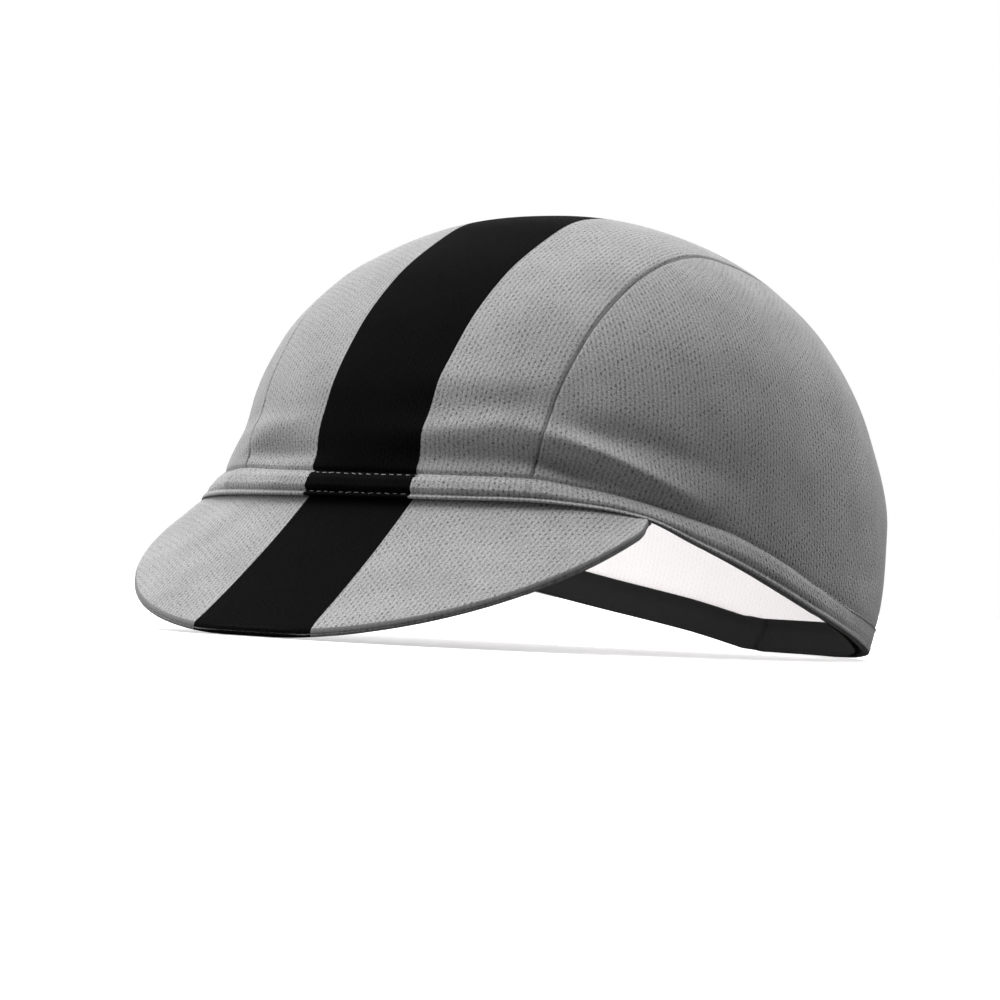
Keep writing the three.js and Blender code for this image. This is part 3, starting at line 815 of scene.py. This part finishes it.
def elastic_band():
    all_round = np.linspace(-180, 180, BAND_SECTIONS + 1)
    around = np.sort(np.append(all_round, np.linspace(JOINT_FROM, JOINT_TO, JOINT_SECTIONS)))
    height = HEM_HEIGHT * hem_share("height", around)
    rise = np.where((around > 0) & (around < 120), ELASTIC_RISE * np.sin(np.radians(1.5 * around)), 0)
    low = 1 - rise / height
    top = low - ELASTIC_HEIGHT / height
    up = np.concatenate([BAND_UP, BAND_UP[::-1]])
    near = HEM_THICKNESS + CLEARANCE
    faces = np.concatenate([near + BAND_INSET, near + ELASTIC_THICKNESS - BAND_INSET[::-1]])
    inner_face = np.arange(len(up)) >= len(BAND_UP)
    depth = faces + np.where(inner_face, joint_relief(around[:, None], up), 0)
    grid = on_hem(around[:, None], mix(low[:, None], top[:, None], up[None, :]), -depth)
    grid[..., 2] = np.maximum(grid[..., 2], 0)
    grid = np.concatenate([grid, grid[:, :1]], axis=1)
    grid[-1] = grid[0]
    length = np.interp(around, fine, fine_length)
    flat = np.stack([np.broadcast_to(length[:, None], grid.shape[:2]), run(grid)], axis=-1)
    piece = sew("elastic_band_woven", [(grid, flat, 0)], [elastic])
    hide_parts("elastic_band")
    return piece


elastic_band()

# %% [markdown]
# ## The peak
#
# The peak is two covers of the knit, one over the other. It starts just under the hem's lower edge and
# dips to the table. The stripe widens a little towards the peak's edge, as a straight print does when
# the peak bows, so its columns of faces follow the stripe again. Both covers roll over at the edge. At
# the root the top cover runs on under the hem, and the corners of the peak rise to meet it.

# %% The peak's surface
PEAK_STACK = 2 * PEAK_CLOTH + CLEARANCE
EDGE_SQUARENESS, CORNER_TURN = 2.11, 0.9
peak_corner, brow = on_hem(PEAK_CORNER, 1, 0), on_hem(0, 1, 0)


def peak_root(t):
    point = on_hem(PEAK_CORNER * t, 1, -PEAK_TUCK)
    return point - np.array([0, 0, 1.5 * CLEARANCE + PEAK_STACK / 2])


def peak_edge(t):
    around = 90 * t
    k = squareness(around, EDGE_SQUARENESS)
    forward = np.cos(np.radians(around)) * k
    widest = peak_corner[1] - PEAK_SET
    top = peak_corner[2] - PEAK_STACK / 2
    x = (peak_corner[0] + PEAK_SIDE) * np.sin(np.radians(around)) * k
    y = widest + (brow[1] - PEAK_LENGTH - widest) * forward
    z = PEAK_STACK / 2 - PEAK_PRESS + top - (top + PEAK_DIP) * forward + PEAK_DIP * forward**2
    turn = np.maximum(0, np.abs(t) - PEAK_TURN) / (1 - PEAK_TURN)
    return mix(np.stack([x, y, z], axis=-1), peak_root(t), (CORNER_TURN * turn * turn)[..., None])


def peak_middle(t, v):
    point = mix(peak_root(t), peak_edge(t), v[..., None])
    point[..., 2] -= PEAK_SAG * 4 * v * (1 - v) * (1 - t * t)
    return point


def on_peak(t, v, height):
    e = 0.002
    across = peak_middle(t + e, v) - peak_middle(t - e, v)
    along = peak_middle(t, v + e) - peak_middle(t, v - e)
    normal = unit(np.cross(across, along))
    normal = normal * np.where(normal[..., 2:] < 0, -1, 1)
    normal = unit(mix(normal, np.array([0, 0, 1.0]), (v**3)[..., None]))
    point = peak_middle(t, v) + normal * height[..., None]
    point[..., 2] = np.maximum(point[..., 2], height + PEAK_STACK / 2)
    return point


print("Peak reaches", round(float(brow[1] - peak_edge(np.array(0.0))[1]), 1), "mm in front of the brow")

# %% Columns and rows of the peak's covers
PEAK_ROWS, PRINT_COLUMNS, BESIDE_COLUMNS = 30, 12, 43
EDGE_STEPS = np.array([4, 3, 2.2, 1.6, 1.15, 0.8, 0.55, 0.35, 0.2, 0.09, 0.0])
ROOT_TUCK = 1.8


def stripe_turn(v, drift):
    """Share t at which the peak's surface meets the stripe's edge."""
    wanted = mix(STRIPE_CREASE + drift, STRIPE_PEAK, v)
    low, high = np.zeros_like(v), np.ones_like(v)
    for _ in range(HALVINGS):
        t = (low + high) / 2
        inside = peak_middle(t, v)[..., 0] < wanted
        low, high = np.where(inside, t, low), np.where(inside, high, t)
    return (low + high) / 2


def peak_columns():
    """Share t of every column in every row, out to both corners from the middle of the stripe."""
    v = np.append(np.linspace(0, 1, PEAK_ROWS)[:-1], np.ones(len(EDGE_STEPS)))
    halves = []
    for drift in (-STRIPE_DRIFT, STRIPE_DRIFT):
        turn = stripe_turn(v, drift)[:, None]
        beside = turn + (1 - turn) * np.sin(np.linspace(0, np.pi / 2, BESIDE_COLUMNS + 1)[1:])
        halves.append(np.concatenate([turn * np.linspace(0, 1, PRINT_COLUMNS + 1), beside], axis=1))
    return np.concatenate([-halves[0][:, :0:-1], halves[1]], axis=1)


def peak_rows(depth, tucked):
    """Share v of every row: even from the root on, then close together at the edge."""
    v = np.empty_like(depth)
    reach = np.minimum(EDGE_STEPS[0], 0.45 * depth)
    tuck = np.minimum(ROOT_TUCK / depth, 1) if tucked else np.zeros_like(depth)
    last = PEAK_ROWS - 1
    for row in range(last):
        v[row] = mix(-tuck[row], 1 - reach[row] / depth[row], row / last)
    for row, step in enumerate(EDGE_STEPS, last):
        v[row] = 1 - step / EDGE_STEPS[0] * reach[row] / depth[row]
    return v


peak_t = peak_columns()
peak_depth = np.linalg.norm(peak_edge(peak_t) - peak_root(peak_t), axis=-1)
print("Peak's grid:", peak_t.shape[0] - 1, "rows and", peak_t.shape[1] - 1, "columns")

# %% Top cover and underside
EDGE_ROLL = 0.92
CORNER_RISE, CORNER_FROM, CORNER_OVER, CORNER_FADE = 0.9, 0.6, 0.35, 5
# The last rows of each cover, round the rolled edge, take the darker grey finish: painted shade.
PAINTED_EDGE_SHADE_ROWS, DIP_ON_CLOTH = 4, 0.35


def peak_cover(name, height, upward, node):
    t, depth = peak_t, peak_depth
    v = peak_rows(depth, upward > 0)
    over_edge = np.maximum(EDGE_ROLL - (1 - v) * depth, 0)
    rolled = EDGE_ROLL - np.sqrt(np.maximum(EDGE_ROLL**2 - over_edge**2, 0))
    near_corner = np.clip((np.abs(t) - CORNER_FROM) / CORNER_OVER, 0, 1)
    near_corner = near_corner * near_corner * (3 - 2 * near_corner)
    up_to_hem = CORNER_RISE * near_corner * np.exp(-((v * depth / CORNER_FADE) ** 2))
    face = on_peak(t, v, up_to_hem + upward * (height + PEAK_CLOTH - rolled))
    inner = on_peak(t, v, up_to_hem + upward * height)
    striped = np.abs(np.arange(t.shape[1] - 1) - t.shape[1] // 2 + 0.5) < PRINT_COLUMNS
    rows = np.arange(t.shape[0] - 1)[:, None]
    shown = (upward > 0) | (rows > PEAK_ROWS)
    # Edge rows outside the stripe get the darker grey: painted shade round the rolled edge.
    mark = np.where(striped & shown, BLACK, np.where(rows >= len(rows) - PAINTED_EDGE_SHADE_ROWS, PAINTED_EDGE_SHADE, GREY))
    flat = np.stack([face[..., 0], face[..., 1] + DIP_ON_CLOTH * face[..., 2]], axis=-1)
    piece = sew(name, slab(face, inner, flat, mark, GREY), CLOTH_FINISHES)
    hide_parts(node)
    return piece


peak_cover("peak_top_knit", CLEARANCE / 2, 1, "peak_top")
peak_cover("peak_underside_knit", CLEARANCE / 2, -1, "peak_underside")

# %% [markdown]
# ## Stitches
#
# A lockstitch shows on the outside as a row of short threads that dive into the cloth at both ends.
# Each one here is a small bent capsule, laid along the hem at a nearly even pitch, so the rows follow
# every pucker and catch the light as thread does. Where the two front seams run into the hem, a few
# loose turns of the same thread lock them.

# %% One small bent thread, and the hem's surface under it
THREAD, THREAD_LIFT, THREAD_DIVE = 0.21, 0.15, 0.6
BEND = np.linspace(-0.5, 0.5, 7)


def bent_thread(middle, rise):
    """One thread along a few points of the cloth, with rise the way out of it."""
    along = unit(np.gradient(middle, axis=0))
    side = unit(np.cross(rise, along))
    bent = (2 * BEND) ** 4
    thick = np.sqrt(np.maximum(1 - bent, 0.02)) * THREAD / 2
    line = middle + rise * (THREAD_LIFT - THREAD_DIVE * bent)[:, None] * THREAD
    turn = np.linspace(0, 2 * np.pi, 7)
    spokes = rise[:, None] * np.cos(turn)[:, None] + side[:, None] * np.sin(turn)[:, None]
    ring = line[:, None] + thick[:, None, None] * spokes
    flat = np.stack(np.broadcast_arrays(BEND[:, None] * STITCH_PITCH, turn * THREAD / 2), axis=-1)
    return ring, flat, 0


def hem_surface(length, down):
    around = np.interp(length, fine_length, fine)
    return on_hem(around, down, roll_out(around, down))


def hem_rise(length, down):
    along = hem_surface(length + 0.2, down) - hem_surface(length - 0.2, down)
    lower = hem_surface(length, down + 0.02) - hem_surface(length, down - 0.02)
    return unit(np.cross(lower, along))


print("A thread is", THREAD, "mm thick")

# %% Two rows of topstitch, and the loose turns that lock the front seams
STITCH_SHARE = 0.7


def sew_threads(name, threads):
    caps = [ring[end, :-1] for ring, _, _ in threads for end in (0, -1)]
    return sew(name, threads, [thread], caps=caps)


def hem_row(name, down, seed):
    rng = np.random.default_rng(seed)
    threads = []
    for where in np.arange(STITCH_PITCH, fine_length[-1] - STITCH_PITCH, STITCH_PITCH):
        shift, tilt, stretch = rng.normal(0, 0.12), rng.normal(0, 0.012), rng.uniform(0.88, 1.1)
        length = where + shift + BEND * STITCH_PITCH * STITCH_SHARE * stretch
        row = down + rng.normal(0, 0.008) + 2 * BEND * tilt
        threads.append(bent_thread(hem_surface(length, row), hem_rise(length, row)))
    return sew_threads(name, threads)


def seam_tack(name, around, seed):
    """A few loose turns of thread down the hem, where a panel seam ends in it."""
    rng = np.random.default_rng(seed)
    middle = float(hem_length(around))
    threads = []
    for step in np.linspace(0.12, 0.95, 6):
        length = middle + 0.45 + rng.normal(0, 0.2) + BEND * rng.normal(0, 0.9)
        row = step + BEND * rng.uniform(0.1, 0.17)
        threads.append(bent_thread(hem_surface(length, row), hem_rise(length, row)))
    return sew_threads(name, threads)


hem_row("topstitch_upper", UPPER_ROW, 3)
hem_row("topstitch_lower", LOWER_ROW, 7)
seam_tack("left_brow_tack", front_foot, 11)
seam_tack("right_brow_tack", -front_foot, 12)

# %% [markdown]
# ## Floor, light and camera
#
# The photograph is a plain studio picture: a large soft light overhead, weaker ones behind and on
# both sides, and a white background. Wide suns give that light. The floor looks white to the camera,
# where it also glows a little, but it gives back much less light, as a dark card does that is slid
# under an object so that its underside keeps its shadow. A small soft lamp hangs in the hollow and
# lights the white reverse.

# %% Pale floor and surroundings
FLOOR_REACH, FLOOR_DROP, FLOOR_GLOW = 6.0, 0.0002, 0.5


def floor_finish():
    finish, tree, shader = new_finish("pale_floor_paint")
    speckle = add_node(tree, "ShaderNodeTexNoise", {"Scale": 40.0, "Detail": 2.0}).outputs["Fac"]
    pale = blend(tree, speckle, linear("#fafafa"), linear("#fefefe"))
    seen = add_node(tree, "ShaderNodeLightPath").outputs["Is Camera Ray"]
    tree.links.new(blend(tree, seen, linear("#5a5a5a"), pale), shader.inputs["Base Color"])
    tree.links.new(on_numbers(tree, "MULTIPLY", seen, FLOOR_GLOW), shader.inputs["Emission Strength"])
    shader.inputs["Emission Color"].default_value = (1, 1, 1, 1)
    shader.inputs["Roughness"].default_value = 0.9
    shader.inputs["Specular IOR Level"].default_value = 0.0
    return finish


def pale_floor():
    mesh = bpy.data.meshes.new("floor")
    corners = [(x * FLOOR_REACH, y * FLOOR_REACH, 0) for x, y in ((-1, -1), (1, -1), (1, 1), (-1, 1))]
    mesh.from_pydata(corners, [], [(0, 1, 2, 3)])
    mesh.materials.append(floor_finish())
    floor = bpy.data.objects.new("floor", mesh)
    bpy.context.scene.collection.objects.link(floor)
    floor.location.z = -FLOOR_DROP


def white_surroundings(seen, fill):
    world = bpy.data.worlds.new("white_studio")
    bpy.context.scene.world = world
    world.use_nodes = True
    tree = world.node_tree
    tree.nodes.clear()
    path = add_node(tree, "ShaderNodeLightPath")
    strength = rescale(tree, path.outputs["Is Camera Ray"], given=(fill, seen))
    light = add_node(tree, "ShaderNodeBackground", {"Color": (1, 1, 1, 1), "Strength": strength})
    add_node(tree, "ShaderNodeOutputWorld", {"Surface": light.outputs[0]})


pale_floor()
white_surroundings(seen=1.0, fill=0.07)
bpy.context.scene.view_settings.view_transform = "Standard"
print("Floor is", 2 * FLOOR_REACH, "m across, under a white surrounding")


# %% Camera at the photograph's angle
AIM = np.array([0, 0, 60.0])
AZIMUTH, ELEVATION, ROLL, RANGE = 33.916, -2.571, 2.949, 1000.0
PIXELS_PER_MM, AIM_PIXEL, PICTURE, SENSOR = 3.59, (562.7, 429.6), 1000, 36


def picture_axes():
    az, el, roll = (math.radians(v) for v in (AZIMUTH, ELEVATION, ROLL))
    right = np.array([math.cos(az), math.sin(az), 0])
    up = np.array([-math.sin(az) * math.sin(el), math.cos(az) * math.sin(el), math.cos(el)])
    towards = np.array([math.sin(az) * math.cos(el), -math.cos(az) * math.cos(el), math.sin(el)])
    rolled_right = math.cos(roll) * right + math.sin(roll) * up
    rolled_up = math.cos(roll) * up - math.sin(roll) * right
    return rolled_right, rolled_up, towards


right, up, towards = picture_axes()
seat = AIM + RANGE * towards
beside, above = (AIM_PIXEL[0] - PICTURE / 2) / PIXELS_PER_MM, (PICTURE / 2 - AIM_PIXEL[1]) / PIXELS_PER_MM
target = AIM - beside * right - above * up
back = unit(seat - target)
across = unit(np.cross(up, back))
camera_data = bpy.data.cameras.new("camera")
camera_data.sensor_width = SENSOR
camera_data.lens = SENSOR * PIXELS_PER_MM * RANGE / PICTURE
camera_data.clip_start, camera_data.clip_end = 0.01, 20
camera = bpy.data.objects.new("camera", camera_data)
bpy.context.scene.collection.objects.link(camera)
place = np.eye(4)
place[:3, 0], place[:3, 1], place[:3, 2] = across, np.cross(back, across), back
place[:3, 3] = (seat + SHIFT) * MILLIMETRE
camera.matrix_world = Matrix(place.tolist())
bpy.context.scene.camera = camera
print("Camera stands", round(float(seat[2]), 1), "mm above the floor")


# %% Soft light overhead, behind and on both sides, and a small lamp inside the opening
LAMP_RANGE = 1.1


def lamp(name, kind, direction, strength, **settings):
    data = bpy.data.lights.new(name, kind)
    data.energy = strength
    for key, value in settings.items():
        setattr(data, key, value)
    light = bpy.data.objects.new(name, data)
    bpy.context.scene.collection.objects.link(light)
    toward = Vector(unit(np.array(direction, float)))
    light.rotation_mode = "QUATERNION"
    light.rotation_quaternion = toward.to_track_quat("Z", "Y")
    light.location = Vector((SHIFT + AIM) * MILLIMETRE) + toward * LAMP_RANGE
    return light


lamp("overhead_sun", "SUN", -0.15 * right + 0.95 * up - 0.15 * towards, 2.25, angle=math.radians(60))
lamp("back_left_sun", "SUN", -0.55 * right + 0.34 * up - 0.75 * towards, 1.7, angle=math.radians(50))
lamp("back_right_sun", "SUN", 0.5 * right + 0.38 * up - 0.8 * towards, 1.9, angle=math.radians(50))
lamp("left_sun", "SUN", -0.9 * right + 0.45 * up + 0.15 * towards, 1.1, angle=math.radians(60))
lamp("right_sun", "SUN", 0.55 * right + 0.8 * up + 0.25 * towards, 0.65, angle=math.radians(40))
inside = lamp("inside_lamp", "AREA", (0.55, -0.75, -0.3), 0.064, shape="RECTANGLE", size=0.05, size_y=0.03)
inside.location = (0.005, 0.03, 0.022)
inside.visible_camera = False
print("Lamps:", [light.name for light in bpy.data.lights])
